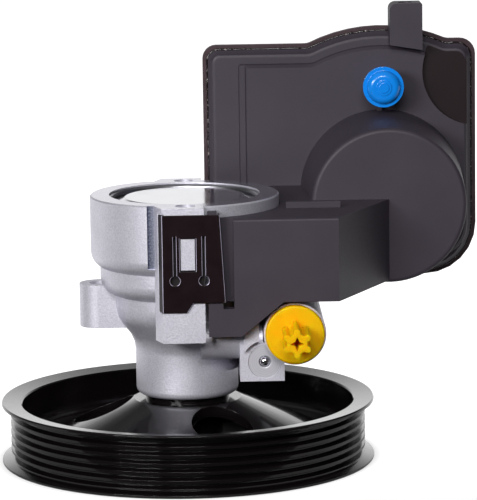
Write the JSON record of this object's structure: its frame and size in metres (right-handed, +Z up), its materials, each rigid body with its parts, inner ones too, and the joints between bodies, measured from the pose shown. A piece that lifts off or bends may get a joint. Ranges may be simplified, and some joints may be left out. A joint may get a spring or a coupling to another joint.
{
  "type": "power steering pump",
  "caption": "Vane-type hydraulic steering pump: cast housing on a ribbed belt pulley, with a moulded fluid reservoir clipped to its side and transport plugs in its ports.",
  "frame": {"origin": "on the shaft's axis, in the plane of the pulley's lower face, which the pump stands on", "axes": "+Z up along the drive shaft, +X towards the reservoir, +Y away from the outlet port"},
  "size_m": [0.2098, 0.1956, 0.19],
  "materials": {
    "cast_aluminium": "blasted die casting",
    "bright_steel": "turned bright",
    "steel": "ground",
    "bronze": "plain bearing",
    "pulley_black": "gloss electrocoat",
    "clip_black": "gloss phosphate and lacquer",
    "nylon": "fine moulded texture",
    "cap_black": "moulded",
    "rubber": "moulded",
    "yellow_plastic": "moulded",
    "blue_plastic": "moulded"
  },
  "bodies": {
    "pump": {"pump_housing": "cast_aluminium", "shaft_bush": "bronze", "shaft_seal": "rubber", "thrust_plate": "steel", "cam_ring": "steel", "dowel_pins": "steel", "pressure_plate": "steel", "plate_seal": "rubber", "pressure_spring": "steel", "end_cover": "bright_steel", "cover_seal": "rubber", "cover_ring": "steel", "passage_plug": "bright_steel", "passage_ball": "bright_steel", "valve_spring": "steel", "outlet_fitting": "bright_steel", "fitting_seal": "rubber", "outlet_plug": "yellow_plastic", "reservoir_front": "nylon", "reservoir_rear": "nylon", "inlet_seal": "rubber", "return_cap": "blue_plastic", "front_clip": "clip_black", "rear_clip": "clip_black"},
    "rotor": {"pulley": "pulley_black", "drive_shaft": "steel", "pump_rotor": "steel", "vanes": "steel", "rotor_snap_ring": "steel"},
    "valve": {"valve_spool": "steel"},
    "cap": {"filler_cap": "cap_black", "cap_seal": "rubber"}
  },
  "joints": [
    {"name": "pulley_spin", "type": "hinge", "parent": "pump", "child": "rotor", "pos_m": [0, 0, 0.028], "axis": [0, 0, 1], "continuous": true},
    {"name": "valve_slide", "type": "slide", "parent": "pump", "child": "valve", "axis": [0, 1, 0], "range_m": [0, 0.006], "stiffness_N_per_m": 4000, "springref_m": -0.008, "deforming": ["valve_spring"]},
    {"name": "cap_turn", "type": "hinge", "parent": "pump", "child": "cap", "pos_m": [0.058, 0.105, 0.138], "axis": [0, 1, 0], "range_deg": [0, 90]}
  ]
}
